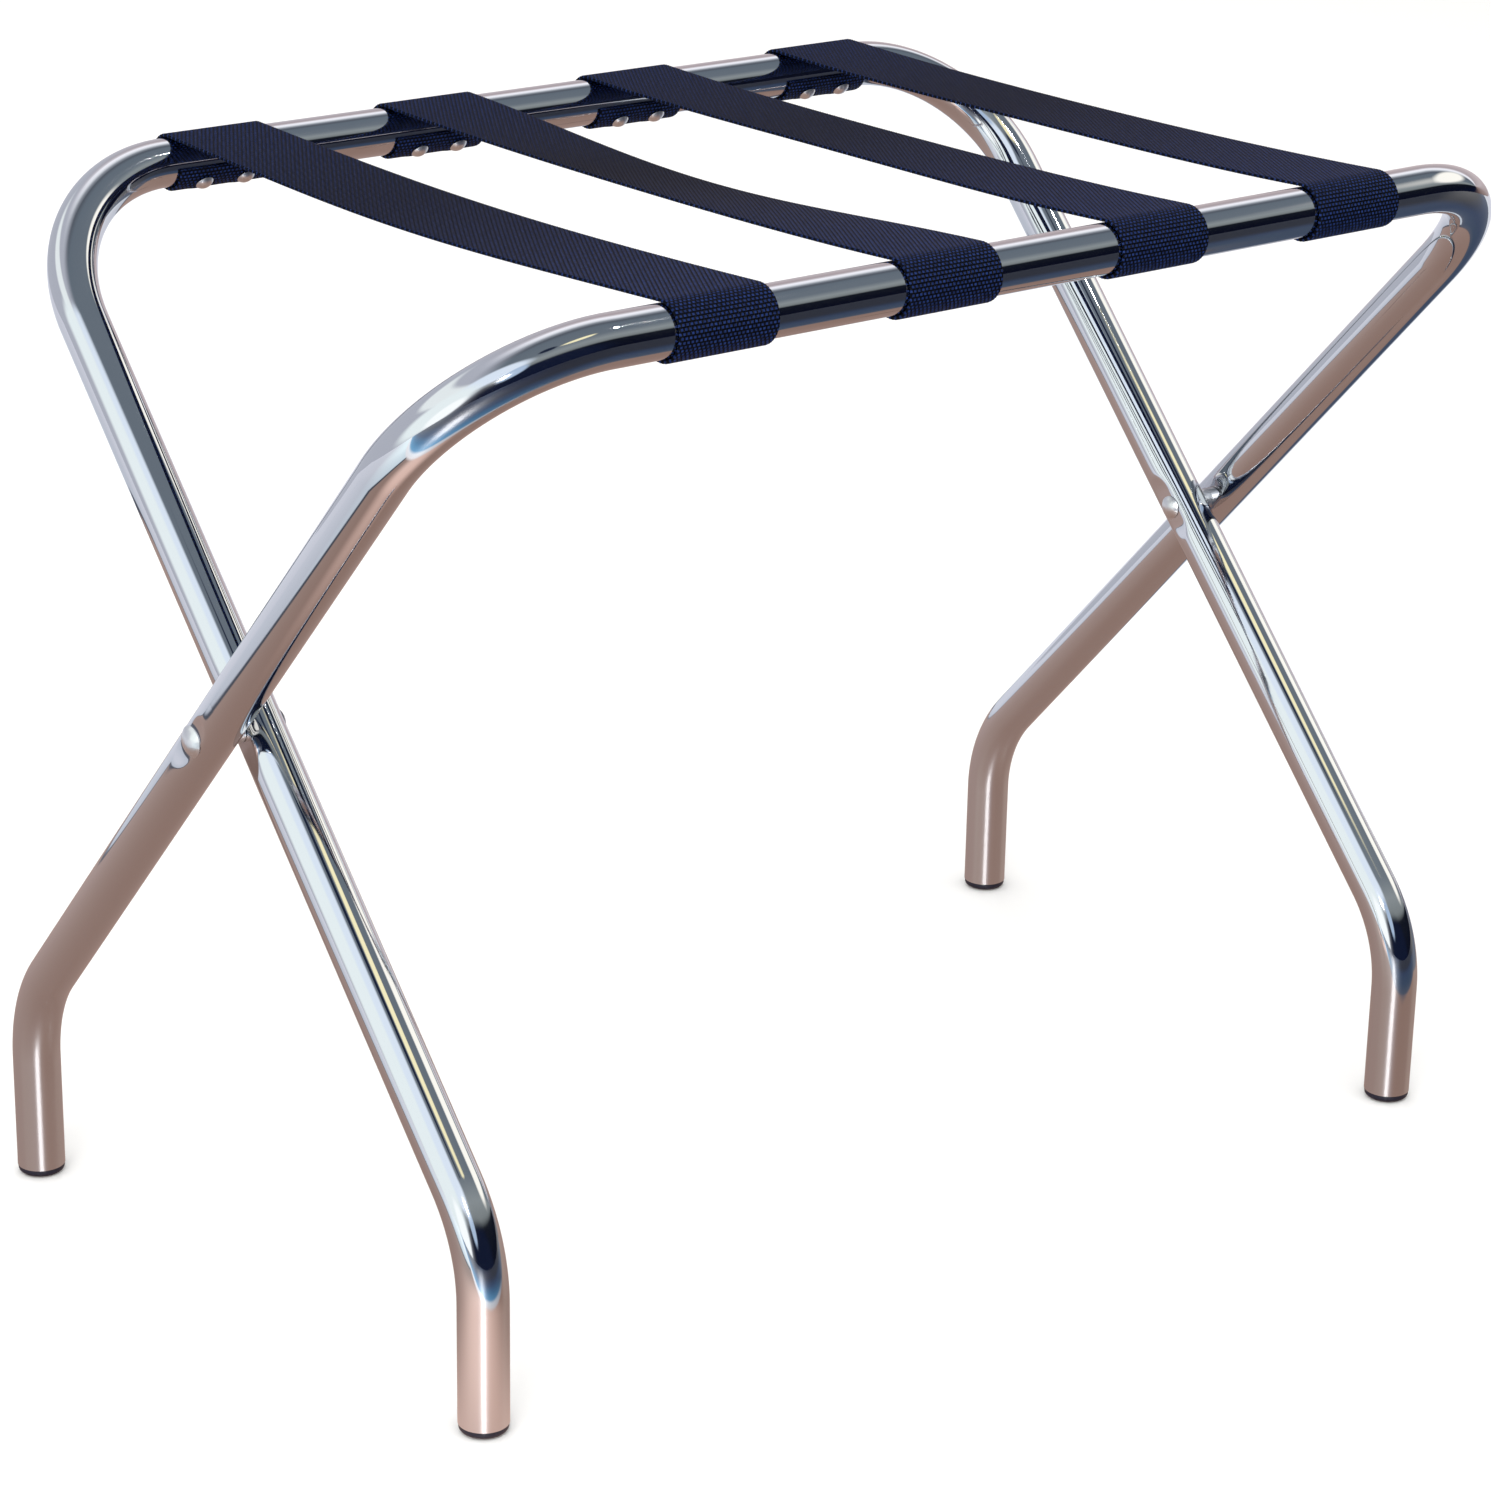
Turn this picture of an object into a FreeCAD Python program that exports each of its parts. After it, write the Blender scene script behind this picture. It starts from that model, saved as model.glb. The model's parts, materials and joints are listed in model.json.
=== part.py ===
import FreeCAD, Part
import os
import Sketcher
from FreeCAD import Placement, Rotation, Vector

# Folding luggage rack: two bent steel tube frames crossed on a pair of pivot rivets,
# with webbing straps slung between the two top rails.
# Origin: on the floor, midway between the four feet. +X runs along the rails, +Z is up.
# The outer frame's rail is at -Y and its feet are at +Y; the inner frame is the other way round.
doc = FreeCAD.newDocument("luggage_rack")

# Driving sizes, in millimetres and degrees.
SIZES = {
    # the two bent frames
    "frame_width": 598.0,  # between the leg centre lines of the outer frame
    "rail_height": 467.0,  # floor to the rail centre lines
    "rail_spread": 364.0,  # between the two rail centre lines
    "foot_spread": 326.0,  # between the foot centre lines, front to back
    "foot_rise": 86.0,  # floor to where the leg line meets the foot line
    "tube_diameter": 22.2,
    "tube_wall": 1.2,
    "corner_radius": 72.0,  # centre line radius of the bend from rail to leg
    "foot_radius": 72.0,  # centre line radius of the bend from leg to foot
    # the pivots
    "leg_gap": 1.8,  # between the crowns of the crossing legs
    "rivet_diameter": 6.3,
    "rivet_clearance": 0.06,  # radial, in the inner frame, which turns on the rivet
    "end_float": 0.2,  # axial, each side of the inner leg
    "rivet_head_diameter": 14.0,
    "rivet_head_height": 3.0,
    "clinch_diameter": 11.5,
    "clinch_height": 2.6,
    "head_seat_diameter": 16.0,
    "head_seat_depth": 1.4,  # from the crown of the tube
    "spacer_seat_diameter": 20.0,
    "spacer_seat_depth": 1.6,
    "spacer_diameter": 11.0,
    "seat_slope": 3.0,  # how far a pressed seat flares for each millimetre of depth
    # the straps
    "strap_end_margin": 1.0,  # from the outer straps' edges to the start of the inner frame's corners
    "webbing_width": 50.0,
    "webbing_thickness": 1.6,
    "webbing_gap": 0.3,  # between the tube and the webbing round it
    "strap_sag": 4.0,
    "strap_end_angle": 6.0,  # below level, on the inner side of the rail
    # the rivets that hold the strap ends
    "strap_rivet_pitch": 22.0,
    "strap_rivet_angle": 45.0,  # below level, on the inner side of the rail
    "strap_rivet_diameter": 3.2,
    "strap_rivet_head_diameter": 8.5,
    "strap_rivet_head_height": 2.0,
    "strap_rivet_tail_diameter": 5.0,
    "strap_rivet_tail_length": 3.5,
    # the glides in the feet
    "glide_rim_height": 3.6,
    "glide_rim_inset": 0.3,  # how far the rim stands inside the tube's outer face
    "glide_round": 2.2,
    "glide_barrel_length": 16.0,
    "glide_barrel_gap": 0.05,
    "glide_lead_in": 1.0,
}

STRAP_COUNT = 4
CUT_MARGIN = 1.0  # how far a cutter runs past the face it opens

# Sizes that follow from the driving ones.
DERIVED = {
    "lean": "=atan((rail_spread + foot_spread) / 2 / (rail_height - foot_rise))",
    "leg_up": "=rail_spread / 2 / sin(lean)",
    "leg_down": "=foot_spread / 2 / sin(lean)",
    "pivot_height": "=foot_rise + foot_spread / 2 / tan(lean)",
    "foot_tangent": "=foot_radius * tan(lean / 2)",
    "tube_radius": "=tube_diameter / 2",
    "bore_radius": "=tube_diameter / 2 - tube_wall",
    "outer_half": "=frame_width / 2",
    "inner_half": "=frame_width / 2 - tube_diameter - leg_gap",
    "strap_run": "=2 * (inner_half - corner_radius - strap_end_margin)",
    "strap_pitch": f"=(strap_run - webbing_width) / {STRAP_COUNT - 1}",
    "wrap_inside": "=tube_diameter / 2 + webbing_gap",
    "span_circle": "=((rail_spread / 2)^2 + strap_sag^2) / (2 * strap_sag)",
    "span_angle": "=asin(rail_spread / 2 / span_circle)",
}

sheet = doc.addObject("Spreadsheet::Sheet", "Rack")
for row, (alias, value) in enumerate({**SIZES, **DERIVED}.items(), start=1):
    sheet.set(f"A{row}", alias)
    sheet.set(f"B{row}", str(value))
    sheet.setAlias(f"B{row}", alias)
doc.recompute()

AXIS_X = Vector(1, 0, 0)
AXIS_Y = Vector(0, 1, 0)
Z_TO_MINUS_Y = Rotation(AXIS_X, 90)
Z_TO_X = Rotation(AXIS_Y, 90)
Z_TO_MINUS_X = Rotation(AXIS_Y, -90)
XYZ_TO_YZX = Rotation(Vector(1, 1, 1), 120)
NO_TURN = Rotation()


def bind(obj, **expressions):
    # sizes of a primitive, each tied to the sheet
    for name, expression in expressions.items():
        obj.setExpression(name, expression)
    return obj


def put(obj, x="0", y="0", z="0", turn=NO_TURN, angle=None):
    # place of an object: a fixed turn, or a turn about X whose angle is an expression
    obj.Placement = Placement(Vector(), Rotation(AXIS_X, 30) if angle else turn)
    for axis, expression in zip("xyz", (x, y, z)):
        obj.setExpression(f"Placement.Base.{axis}", expression)
    if angle:
        obj.setExpression("Placement.Rotation.Angle", angle)
    return obj


def cylinder(name, radius, height):
    return bind(doc.addObject("Part::Cylinder", name), Radius=radius, Height=height)


def bend(name, bend_radius, radius, sweep):
    torus = doc.addObject("Part::Torus", name)
    return bind(torus, Radius1=bend_radius, Radius2=radius, Angle3=sweep)


def dome(name, base_diameter, height):
    # spherical cap that stands on z = 0 of its own frame
    half = f"({base_diameter} / 2)"
    ball = f"(({half}^2 + {height}^2) / (2 * {height}))"
    cap = doc.addObject("Part::Sphere", name)
    bind(cap, Radius=ball, Angle1=f"asin(({ball} - {height}) / {ball})", Angle2="90 deg")
    return cap, f"({ball} - {height})"


def fuse(name, shapes):
    union = doc.addObject("Part::MultiFuse", name)
    union.Shapes = shapes
    union.Refine = True
    return union


def cut(name, base, tool):
    result = doc.addObject("Part::Cut", name)
    result.Base = base
    result.Tool = tool
    return result


# ---- tube frames ----
# A frame is drawn with its legs along its own Y, the pivots on its own X axis and the rail at +Y.
# hand is 1 where the feet bend towards the frame's own +Z, and -1 where they bend the other way.

def frame_half(name, radius, half, hand, foot_extra):
    """One half of a solid bent rod: half the rail, a corner, a leg, a foot bend and a foot."""
    rail = cylinder(f"{name}_rail", radius, f"{half} - Rack.corner_radius")
    put(rail, y="Rack.leg_up", turn=Z_TO_X)

    corner = bend(f"{name}_corner", "Rack.corner_radius", radius, "90 deg")
    put(corner, f"{half} - Rack.corner_radius", "Rack.leg_up - Rack.corner_radius")

    leg_length = "Rack.leg_up - Rack.corner_radius + Rack.leg_down - Rack.foot_tangent"
    leg = cylinder(f"{name}_leg", radius, leg_length)
    put(leg, half, "Rack.leg_up - Rack.corner_radius", turn=Z_TO_MINUS_Y)

    foot_bend = bend(f"{name}_foot_bend", "Rack.foot_radius", radius, "Rack.lean")
    put(
        foot_bend,
        half,
        "Rack.foot_tangent - Rack.leg_down",
        f"{hand} * Rack.foot_radius",
        turn=Rotation(Vector(1, 0, -hand), 180),
    )

    foot_length = f"Rack.foot_rise - Rack.foot_tangent - Rack.glide_rim_height + {foot_extra}"
    foot = cylinder(f"{name}_foot", radius, foot_length)
    put(
        foot,
        half,
        "-Rack.leg_down - Rack.foot_tangent * cos(Rack.lean)",
        f"{hand} * Rack.foot_tangent * sin(Rack.lean)",
        angle=f"90 deg - {hand} * Rack.lean",
    )
    return fuse(f"{name}_half", [rail, corner, leg, foot_bend, foot])


def pressed_seat(name, half, side, diameter, depth, inset):
    """Cutter for a flat seat pressed into a leg round the pivot axis, flaring out to the tube's crown.
    side is 1 on the leg's outward face and -1 on its inward face. inset sinks it by the wall."""
    grow = f"{inset} * (sqrt(1 + Rack.seat_slope^2) - Rack.seat_slope)"
    floor_radius = f"({diameter} / 2 + {grow})"
    height = f"({depth} + {inset} + {CUT_MARGIN})"
    cone = doc.addObject("Part::Cone", name)
    bind(cone, Radius1=floor_radius, Radius2=f"{floor_radius} + Rack.seat_slope * {height}", Height=height)
    place = f"{half} + {side} * (Rack.tube_radius - {depth} - {inset})"
    return put(cone, place, turn=Z_TO_X if side > 0 else Z_TO_MINUS_X)


def seated_rod(name, radius, half, hand, inset, foot_extra, head_side):
    """Whole rod of one frame with its pressed seats, mirrored from one half."""
    seats = fuse(f"{name}_seats", [
        pressed_seat(f"{name}_head_seat", half, head_side,
                     "Rack.head_seat_diameter", "Rack.head_seat_depth", inset),
        pressed_seat(f"{name}_spacer_seat", half, -head_side,
                     "Rack.spacer_seat_diameter", "Rack.spacer_seat_depth", inset),
    ])
    right = cut(f"{name}_right", frame_half(name, radius, half, hand, foot_extra), seats)
    left = doc.addObject("Part::Mirroring", f"{name}_left")
    left.Source = right
    left.Normal = AXIS_X
    return fuse(f"{name}_rod", [right, left])


def frame_holes(name, half, hand, pivot_radius):
    """Cutters for the pivot holes through both legs and the strap rivets' holes in the rail."""
    holes = []
    for side in (-1, 1):
        hole = cylinder(f"{name}_pivot_hole", pivot_radius, f"Rack.tube_diameter + 2 * {CUT_MARGIN}")
        start = f"{side} * {half} - Rack.tube_radius - {CUT_MARGIN}"
        holes.append(put(hole, start, turn=Z_TO_X))
    below = "(Rack.lean + Rack.strap_rivet_angle * 1 deg)"
    angle = f"180 deg - {below}" if hand > 0 else below
    for strap in range(STRAP_COUNT):
        for side in (-1, 1):
            hole = cylinder(f"{name}_strap_hole", "Rack.strap_rivet_diameter / 2", "Rack.tube_diameter")
            place = f"{strap_place(strap)} + {side} * Rack.strap_rivet_pitch / 2"
            holes.append(put(hole, place, "Rack.leg_up", angle=angle))
    return fuse(f"{name}_holes", holes)


def strap_place(strap):
    return f"{strap - (STRAP_COUNT - 1) / 2} * Rack.strap_pitch"


def tube_frame(name, half, hand, head_side, pivot_radius):
    skin = seated_rod(f"{name}_skin", "Rack.tube_radius", half, hand, "0", "0", head_side)
    bore = seated_rod(f"{name}_bore", "Rack.bore_radius", half, hand, "Rack.tube_wall",
                      str(CUT_MARGIN), head_side)
    tube = cut(f"{name}_hollow", skin, bore)
    drilled = cut(f"{name}_tube", tube, frame_holes(name, half, hand, pivot_radius))
    return put(drilled, z="Rack.pivot_height", angle=f"90 deg + {hand} * Rack.lean")


# ---- pivots ----
# A pivot piece is drawn along its own Z, with z the distance from the rack's middle.

def pivot_rivet(name, turn):
    """Domed rivet through both legs, clinched over on the inner leg's inward face."""
    under_head = "(Rack.outer_half + Rack.tube_radius - Rack.head_seat_depth)"
    under_clinch = "(Rack.inner_half - Rack.tube_radius + Rack.head_seat_depth - Rack.end_float)"
    head, sunk = dome(f"{name}_head", "Rack.rivet_head_diameter", "Rack.rivet_head_height")
    put(head, z=f"{under_head} - {sunk}")
    clinch, sunk = dome(f"{name}_clinch", "Rack.clinch_diameter", "Rack.clinch_height")
    put(clinch, z=f"{under_clinch} + {sunk}", turn=Rotation(AXIS_X, 180))
    shank = cylinder(f"{name}_shank", "Rack.rivet_diameter / 2", f"{under_head} - {under_clinch}")
    put(shank, z=under_clinch)
    return put(fuse(name, [head, clinch, shank]), z="Rack.pivot_height", turn=turn)


def new_body(name):
    return doc.addObject("PartDesign::Body", name)


def sketch_on(body, name, role):
    sketch = body.newObject("Sketcher::SketchObject", name)
    plane = next(feature for feature in body.Origin.OriginFeatures if feature.Role == role)
    sketch.AttachmentSupport = [(plane, "")]
    sketch.MapMode = "FlatFace"
    return sketch


def pivot_spacer(name, side):
    """Ring between the crossing legs, standing in the seats pressed into them."""
    body = new_body(name)
    sketch = sketch_on(body, f"{name}_ring", "XY_Plane")
    for diameter in ("spacer_diameter", "rivet_diameter"):
        edge = sketch.addGeometry(Part.Circle(Vector(), Vector(0, 0, 1), SIZES[diameter] / 2))
        sketch.addConstraint(Sketcher.Constraint("Coincident", edge, 3, -1, 1))
        sized = sketch.addConstraint(Sketcher.Constraint("Diameter", edge, SIZES[diameter]))
        sketch.setExpression(f"Constraints[{sized}]", f"Rack.{diameter}")
    pad = body.newObject("PartDesign::Pad", f"{name}_pad")
    pad.Profile = sketch
    bind(pad, Length="Rack.leg_gap + 2 * Rack.spacer_seat_depth - Rack.end_float")
    start = "(Rack.inner_half + Rack.tube_radius - Rack.spacer_seat_depth + Rack.end_float)"
    return put(body, f"{side} * {start}", z="Rack.pivot_height", turn=Z_TO_X if side > 0 else Z_TO_MINUS_X)


# ---- glides ----

def closed_profile(body, name, role, corners):
    """Closed outline of straight lines; each corner is a pair of expressions from the sketch's axes."""
    sketch = sketch_on(body, name, role)
    places = [Vector(float(body.evalExpression(u)), float(body.evalExpression(v)), 0) for u, v in corners]
    count = len(places)
    for line in range(count):
        sketch.addGeometry(Part.LineSegment(places[line], places[(line + 1) % count]))
    for line in range(count):
        sketch.addConstraint(Sketcher.Constraint("Coincident", line, 2, (line + 1) % count, 1))
    for line, (corner, place) in enumerate(zip(corners, places)):
        for kind, axis, expression, value in (
            ("DistanceX", -2, corner[0], place.x),
            ("DistanceY", -1, corner[1], place.y),
        ):
            if expression == "0":
                sketch.addConstraint(Sketcher.Constraint("PointOnObject", line, 1, axis))
            else:
                tied = sketch.addConstraint(Sketcher.Constraint(kind, -1, 1, line, 1, value))
                sketch.setExpression(f"Constraints[{tied}]", expression)
    return sketch


def edge_at(shape, radius, height):
    """Name of the round edge of that radius at that height."""
    for number, edge in enumerate(shape.Edges, start=1):
        curve = edge.Curve
        if isinstance(curve, Part.Circle) and abs(curve.Radius - radius) < 1e-4:
            if abs(curve.Center.z - height) < 1e-4:
                return f"Edge{number}"
    raise ValueError(f"no round edge of radius {radius} at height {height}")


def glide(name, x, y):
    """Moulded glide: a barrel pushed up the foot and a rounded rim that the tube stands on."""
    body = new_body(name)
    rim = "Rack.tube_radius - Rack.glide_rim_inset"
    barrel = "Rack.bore_radius - Rack.glide_barrel_gap"
    top = "Rack.glide_rim_height + Rack.glide_barrel_length"
    sketch = closed_profile(body, f"{name}_outline", "XZ_Plane", [
        ("0", "0"), (rim, "0"), (rim, "Rack.glide_rim_height"),
        (barrel, "Rack.glide_rim_height"), (barrel, top), ("0", top),
    ])
    turned = body.newObject("PartDesign::Revolution", f"{name}_turned")
    turned.Profile = sketch
    turned.ReferenceAxis = (sketch, ["V_Axis"])
    turned.Angle = 360
    doc.recompute()

    rounded = body.newObject("PartDesign::Fillet", f"{name}_rounded")
    rounded.Base = (turned, [edge_at(turned.Shape, float(body.evalExpression(rim)), 0)])
    bind(rounded, Radius="Rack.glide_round")
    doc.recompute()

    barrel_top = edge_at(rounded.Shape, float(body.evalExpression(barrel)), float(body.evalExpression(top)))
    led_in = body.newObject("PartDesign::Chamfer", f"{name}_lead_in")
    led_in.Base = (rounded, [barrel_top])
    bind(led_in, Size="Rack.glide_lead_in")
    body.Tip = led_in
    return put(body, x, y)


# ---- straps ----

def arc_band(name, centre_y, centre_z, inside, start, sweep):
    """Strip of webbing bent round a line along X, from one angle to another, counted from +Y to +Z."""
    outside = cylinder(f"{name}_outside", f"{inside} + Rack.webbing_thickness", "Rack.webbing_width")
    bind(outside, Angle=sweep)
    put(outside, "-Rack.webbing_width / 2", turn=XYZ_TO_YZX)
    core = cylinder(f"{name}_core", inside, f"Rack.webbing_width + 2 * {CUT_MARGIN}")
    put(core, f"-Rack.webbing_width / 2 - {CUT_MARGIN}", turn=XYZ_TO_YZX)
    return put(cut(name, outside, core), "0", centre_y, centre_z, angle=start)


def strap(name, place):
    """Webbing strap: round the near rail, across in a shallow sag, and round the far rail."""
    end = "Rack.strap_end_angle * 1 deg"
    wrap_sweep = f"270 deg + Rack.span_angle - {end}"
    near = arc_band(f"{name}_near", "-Rack.rail_spread / 2", "Rack.rail_height", "Rack.wrap_inside",
                    "90 deg - Rack.span_angle", wrap_sweep)
    far = arc_band(f"{name}_far", "Rack.rail_spread / 2", "Rack.rail_height", "Rack.wrap_inside",
                   f"180 deg + {end}", wrap_sweep)
    span_inside = "Rack.span_circle - Rack.wrap_inside - Rack.webbing_thickness"
    span_centre = "Rack.rail_height + Rack.span_circle * cos(Rack.span_angle)"
    span = arc_band(f"{name}_span", "0", span_centre, span_inside,
                    "270 deg - Rack.span_angle", "2 * Rack.span_angle")
    holes = []
    for rail in (-1, 1):
        for side in (-1, 1):
            hole = cylinder(f"{name}_hole", "Rack.strap_rivet_diameter / 2 + Rack.webbing_gap",
                            "Rack.tube_diameter")
            put(hole, f"{side} * Rack.strap_rivet_pitch / 2", f"{rail} * Rack.rail_spread / 2",
                "Rack.rail_height", angle=rivet_turn(rail))
            holes.append(hole)
    webbing = cut(name, fuse(f"{name}_webbing", [near, span, far]), fuse(f"{name}_holes", holes))
    return put(webbing, place)


def rivet_turn(rail):
    # turns +Z to point from the rail's centre down and towards the middle of the rack
    return f"{rail} * (90 deg + Rack.strap_rivet_angle * 1 deg)"


def strap_rivets(name, place, rail):
    """The pair of blind rivets through one strap end and the wall of the rail."""
    under_head = "(Rack.wrap_inside + Rack.webbing_thickness + Rack.webbing_gap)"
    tail_radius = "(Rack.strap_rivet_tail_diameter / 2)"
    tail_top = f"sqrt(Rack.bore_radius^2 - {tail_radius}^2)"
    pair = []
    for side in (-1, 1):
        rivet = f"{name}_{'left' if side < 0 else 'right'}"
        head, sunk = dome(f"{rivet}_head", "Rack.strap_rivet_head_diameter", "Rack.strap_rivet_head_height")
        put(head, z=f"{under_head} - {sunk}")
        tail = cylinder(f"{rivet}_tail", tail_radius, "Rack.strap_rivet_tail_length")
        put(tail, z=f"{tail_top} - Rack.strap_rivet_tail_length")
        shank = cylinder(f"{rivet}_shank", "Rack.strap_rivet_diameter / 2", f"{under_head} - {tail_top}")
        put(shank, z=tail_top)
        pair.append(put(fuse(rivet, [head, tail, shank]), f"{side} * Rack.strap_rivet_pitch / 2"))
    group = doc.addObject("Part::Compound", name)
    group.Links = pair
    return put(group, place, f"{rail} * Rack.rail_spread / 2", "Rack.rail_height", angle=rivet_turn(rail))


# ---- the rack ----

OUTER = "Rack.outer_half"
INNER = "Rack.inner_half"
SNUG = "Rack.rivet_diameter / 2"

nodes = [
    tube_frame("outer_frame", OUTER, 1, 1, SNUG),
    tube_frame("inner_frame", INNER, -1, -1, f"{SNUG} + Rack.rivet_clearance"),
]
for side, word, turn in ((-1, "left", Z_TO_MINUS_X), (1, "right", Z_TO_X)):
    nodes.append(pivot_rivet(f"pivot_rivet_{word}", turn))
    nodes.append(pivot_spacer(f"pivot_spacer_{word}", side))
    nodes.append(glide(f"outer_glide_{word}", f"{side} * {OUTER}", "Rack.foot_spread / 2"))
    nodes.append(glide(f"inner_glide_{word}", f"{side} * {INNER}", "-Rack.foot_spread / 2"))
for number in range(STRAP_COUNT):
    name = f"strap_{number + 1}"
    nodes.append(strap(name, strap_place(number)))
    for rail, word in ((-1, "near"), (1, "far")):
        nodes.append(strap_rivets(f"{name}_{word}_rivets", strap_place(number), rail))

for node in nodes:
    node.Label = node.Name
doc.recompute()

for obj in doc.Objects:
    if "Invalid" in obj.State or "Error" in obj.State:
        raise RuntimeError(f"{obj.Name} did not build: {obj.State}")
os.makedirs("parts", exist_ok=True)
for node in nodes:
    if node.Shape.isNull() or not node.Shape.isValid():
        raise RuntimeError(f"{node.Label} has no valid shape")
    expected = 2 if node.Label.endswith("_rivets") else 1
    if len(node.Shape.Solids) != expected:
        raise RuntimeError(f"{node.Label} has {len(node.Shape.Solids)} solids, not {expected}")
for node in nodes:
    node.Shape.exportStep(f"parts/{node.Label}.step")
    print(f"{node.Label}: {node.Shape.Volume / 1000:.2f} cm3")
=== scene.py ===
import json
import math
import bpy
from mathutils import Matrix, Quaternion, Vector


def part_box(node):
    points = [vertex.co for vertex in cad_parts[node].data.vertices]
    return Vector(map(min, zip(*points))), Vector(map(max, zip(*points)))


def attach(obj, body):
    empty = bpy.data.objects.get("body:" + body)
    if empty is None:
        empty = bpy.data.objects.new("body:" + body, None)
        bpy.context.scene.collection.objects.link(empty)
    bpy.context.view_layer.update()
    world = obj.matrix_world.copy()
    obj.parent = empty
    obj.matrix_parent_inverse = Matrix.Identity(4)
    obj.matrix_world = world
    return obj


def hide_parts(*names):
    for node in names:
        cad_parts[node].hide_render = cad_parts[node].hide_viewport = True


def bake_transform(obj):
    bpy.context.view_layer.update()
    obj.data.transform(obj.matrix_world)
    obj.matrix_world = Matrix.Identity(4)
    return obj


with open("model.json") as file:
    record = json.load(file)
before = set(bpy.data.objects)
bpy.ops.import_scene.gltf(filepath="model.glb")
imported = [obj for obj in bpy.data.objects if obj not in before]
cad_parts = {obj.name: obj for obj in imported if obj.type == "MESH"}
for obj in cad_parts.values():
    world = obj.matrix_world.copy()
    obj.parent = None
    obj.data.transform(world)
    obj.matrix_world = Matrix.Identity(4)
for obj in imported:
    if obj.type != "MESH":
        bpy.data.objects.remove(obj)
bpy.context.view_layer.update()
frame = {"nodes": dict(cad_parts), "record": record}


def linear(hexColour):
    # an sRGB hex value to the linear colour that a socket takes
    parts = [int(hexColour[i:i + 2], 16) / 255 for i in (1, 3, 5)]
    return tuple(c / 12.92 if c <= 0.04045 else ((c + 0.055) / 1.055) ** 2.4 for c in parts) + (1,)


def addNode(tree, kind, settings=None, stops=None, **inputs):
    # one node with its settings and a ramp's stops, of which the first lies at 0; an input is a
    # plain value or another node's output socket
    node = tree.nodes.new(kind)
    for key, value in (settings or {}).items():
        setattr(node, key, value)
    if stops:
        elements = node.color_ramp.elements
        elements.remove(elements[-1])
        elements[0].color = linear(stops[0][1])
        for position, colour in stops[1:]:
            elements.new(position).color = linear(colour)
    for key, value in inputs.items():
        socket = node.inputs[int(key[1:]) if key[0] == "i" and key[1:].isdigit() else key.replace("_", " ")]
        if isinstance(value, bpy.types.NodeSocket):
            tree.links.new(value, socket)
        else:
            socket.default_value = value
    return node


def startMaterial(name):
    material = bpy.data.materials.new(name)
    material.use_nodes = True
    tree = material.node_tree
    return material, tree, tree.nodes["Principled BSDF"]


def deselectAll():
    bpy.ops.object.select_all(action="DESELECT")


def workOn(piece):
    deselectAll()
    piece.select_set(True)
    bpy.context.view_layer.objects.active = piece


cameraSetup = {
    "azimuth": -39.17,              # degrees round the rack, 0 is square on to the near rail
    "elevation": 20.37,
    "roll": 1.04,
    "distance": 1.958,              # m
    "aim": (-0.0133, -0.0075, 0.2017),
    "lens": 101.2,                  # mm
}


def placeCamera(setup):
    turn, lift = math.radians(setup["azimuth"]), math.radians(setup["elevation"])
    back = Vector((math.sin(turn) * math.cos(lift), -math.cos(turn) * math.cos(lift), math.sin(lift)))
    camera = bpy.data.objects.new("camera", bpy.data.cameras.new("camera"))
    camera.data.lens = setup["lens"]
    camera.data.clip_start = 0.05
    camera.location = Vector(setup["aim"]) + back * setup["distance"]
    camera.rotation_mode = "QUATERNION"
    roll = Quaternion((0, 0, 1), math.radians(setup["roll"]))
    camera.rotation_quaternion = (-back).to_track_quat("-Z", "Y") @ roll
    bpy.context.scene.collection.objects.link(camera)
    bpy.context.scene.camera = camera
    return camera


camera = placeCamera(cameraSetup)
print("camera in place")

floorSetup = {
    "side": 14.0,                   # m
    "drop": 0.0004,                 # the floor lies this far below the glides
    "colour": "#f4f3f1", "roughness": 0.9,
    "boardDrop": 0.0002,            # the board that only reflections see lies just above it
}


def layFloor(setup):
    # Matt emulsion paint, rolled on smooth: a soft shadow at each foot and no shine.
    deselectAll()
    bpy.ops.mesh.primitive_plane_add(size=setup["side"], location=(0, 0, -setup["drop"]))
    floor = bpy.context.object
    floor.name = "paleFloor"
    bpy.ops.object.transform_apply()
    material, tree, shader = startMaterial("pale matt floor paint")
    shader.inputs["Base Color"].default_value = linear(setup["colour"])
    shader.inputs["Roughness"].default_value = setup["roughness"]
    shader.inputs["Specular IOR Level"].default_value = 0.0
    floor.data.materials.append(material)
    floor.visible_glossy = False    # chrome sees the board below instead
    return floor


layFloor(floorSetup)

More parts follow.
